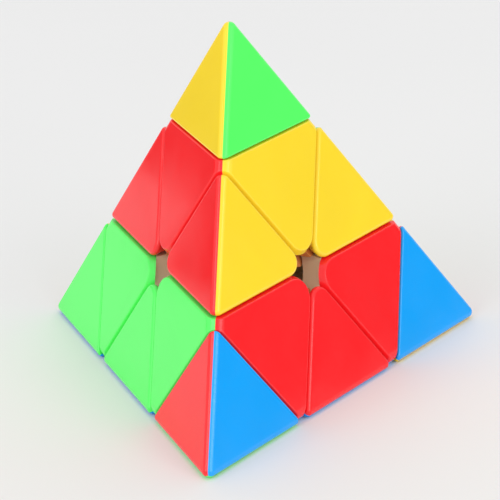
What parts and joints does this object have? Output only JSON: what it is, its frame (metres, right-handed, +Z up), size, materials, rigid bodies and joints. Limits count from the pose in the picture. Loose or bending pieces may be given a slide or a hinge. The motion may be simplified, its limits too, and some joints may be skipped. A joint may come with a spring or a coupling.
{
  "type": "pyramid twisty puzzle",
  "caption": "Four-sided pyramid twist puzzle in moulded colours: corner layers and tips turn about four axes round a hidden sprung core.",
  "frame": {"origin": "middle of the core, where the four turning axes meet, 20.9 mm above the surface the puzzle stands on", "axes": "+Z up through the top point; -Y towards the front point"},
  "size_m": [0.098, 0.0852, 0.0806],
  "materials": {
    "shell_red": "polished moulded",
    "shell_green": "polished moulded",
    "shell_blue": "polished moulded",
    "shell_yellow": "polished moulded",
    "inner_white": "semi-gloss moulded",
    "screw_steel": "plated",
    "washer_steel": "plated",
    "spring_steel": "drawn wire"
  },
  "bodies": {
    "core": {"core": "inner_white", "tension_screws": "screw_steel", "spring_washers": "washer_steel", "tension_springs": "spring_steel"},
    "axial_top": {"hub_top": "inner_white", "axial_top_shell_lf": "shell_red", "axial_top_shell_rf": "shell_yellow", "axial_top_shell_bk": "shell_green"},
    "axial_front": {"hub_front": "inner_white", "axial_front_shell_lf": "shell_green", "axial_front_shell_rf": "shell_red", "axial_front_shell_dn": "shell_blue"},
    "axial_left": {"hub_left": "inner_white", "axial_left_shell_lf": "shell_green", "axial_left_shell_bk": "shell_yellow", "axial_left_shell_dn": "shell_blue"},
    "axial_right": {"hub_right": "inner_white", "axial_right_shell_rf": "shell_red", "axial_right_shell_bk": "shell_yellow", "axial_right_shell_dn": "shell_blue"},
    "tip_top": {"tip_frame_top": "inner_white", "tip_top_shell_lf": "shell_yellow", "tip_top_shell_rf": "shell_green", "tip_top_shell_bk": "shell_red"},
    "tip_front": {"tip_frame_front": "inner_white", "tip_front_shell_lf": "shell_red", "tip_front_shell_rf": "shell_blue", "tip_front_shell_dn": "shell_green"},
    "tip_left": {"tip_frame_left": "inner_white", "tip_left_shell_lf": "shell_green", "tip_left_shell_bk": "shell_yellow", "tip_left_shell_dn": "shell_blue"},
    "tip_right": {"tip_frame_right": "inner_white", "tip_right_shell_rf": "shell_blue", "tip_right_shell_bk": "shell_red", "tip_right_shell_dn": "shell_yellow"},
    "edge_top_front": {"edge_top_front_foot": "inner_white", "edge_top_front_shell_lf": "shell_red", "edge_top_front_shell_rf": "shell_yellow"},
    "edge_top_left": {"edge_top_left_foot": "inner_white", "edge_top_left_shell_lf": "shell_red", "edge_top_left_shell_bk": "shell_green"},
    "edge_top_right": {"edge_top_right_foot": "inner_white", "edge_top_right_shell_rf": "shell_yellow", "edge_top_right_shell_bk": "shell_green"},
    "edge_front_left": {"edge_front_left_foot": "inner_white", "edge_front_left_shell_lf": "shell_green", "edge_front_left_shell_dn": "shell_blue"},
    "edge_front_right": {"edge_front_right_foot": "inner_white", "edge_front_right_shell_rf": "shell_red", "edge_front_right_shell_dn": "shell_blue"},
    "edge_left_right": {"edge_left_right_foot": "inner_white", "edge_left_right_shell_bk": "shell_yellow", "edge_left_right_shell_dn": "shell_blue"}
  },
  "joints": [
    {"name": "turn_layer_top", "type": "hinge", "parent": "core", "child": "axial_top", "pos_m": [0, 0, 0], "axis": [0, 0, 1], "range_deg": [-120, 120]},
    {"name": "turn_layer_front", "type": "hinge", "parent": "core", "child": "axial_front", "pos_m": [0, 0, 0], "axis": [0, -0.9428, -0.3333], "range_deg": [-120, 240]},
    {"name": "turn_layer_left", "type": "hinge", "parent": "core", "child": "axial_left", "pos_m": [0, 0, 0], "axis": [-0.8165, 0.4714, -0.3333], "range_deg": [-120, 240]},
    {"name": "turn_layer_right", "type": "hinge", "parent": "core", "child": "axial_right", "pos_m": [0, 0, 0], "axis": [0.8165, 0.4714, -0.3333], "range_deg": [-120, 240]},
    {"name": "turn_tip_top", "type": "hinge", "parent": "axial_top", "child": "tip_top", "pos_m": [0, 0, 0], "axis": [0, 0, 1], "continuous": true},
    {"name": "turn_tip_front", "type": "hinge", "parent": "axial_front", "child": "tip_front", "pos_m": [0, 0, 0], "axis": [0, -0.9428, -0.3333], "continuous": true},
    {"name": "turn_tip_left", "type": "hinge", "parent": "axial_left", "child": "tip_left", "pos_m": [0, 0, 0], "axis": [-0.8165, 0.4714, -0.3333], "continuous": true},
    {"name": "turn_tip_right", "type": "hinge", "parent": "axial_right", "child": "tip_right", "pos_m": [0, 0, 0], "axis": [0.8165, 0.4714, -0.3333], "continuous": true},
    {"name": "swing_edge_top_front", "type": "hinge", "parent": "axial_top", "child": "edge_top_front", "pos_m": [0, 0, 0], "axis": [0, -0.9428, -0.3333], "range_deg": [-120, 240]},
    {"name": "swing_edge_top_left", "type": "hinge", "parent": "axial_top", "child": "edge_top_left", "pos_m": [0, 0, 0], "axis": [-0.8165, 0.4714, -0.3333], "range_deg": [-120, 240]},
    {"name": "swing_edge_top_right", "type": "hinge", "parent": "axial_top", "child": "edge_top_right", "pos_m": [0, 0, 0], "axis": [0.8165, 0.4714, -0.3333], "range_deg": [-120, 240]},
    {"name": "swing_edge_front_left", "type": "hinge", "parent": "axial_front", "child": "edge_front_left", "pos_m": [0, 0, 0], "axis": [-0.8165, 0.4714, -0.3333], "range_deg": [-120, 240]},
    {"name": "swing_edge_front_right", "type": "hinge", "parent": "axial_right", "child": "edge_front_right", "pos_m": [0, 0, 0], "axis": [0, -0.9428, -0.3333], "range_deg": [-120, 240]},
    {"name": "swing_edge_left_right", "type": "hinge", "parent": "axial_left", "child": "edge_left_right", "pos_m": [0, 0, 0], "axis": [0.8165, 0.4714, -0.3333], "range_deg": [-120, 240]}
  ],
  "couplings": [
    {"joint": "swing_edge_top_front", "follows": "turn_layer_front", "ratio": 1},
    {"joint": "swing_edge_top_left", "follows": "turn_layer_left", "ratio": 1},
    {"joint": "swing_edge_top_right", "follows": "turn_layer_right", "ratio": 1},
    {"joint": "swing_edge_front_left", "follows": "turn_layer_left", "ratio": 1},
    {"joint": "swing_edge_front_right", "follows": "turn_layer_front", "ratio": 1},
    {"joint": "swing_edge_left_right", "follows": "turn_layer_right", "ratio": 1}
  ]
}
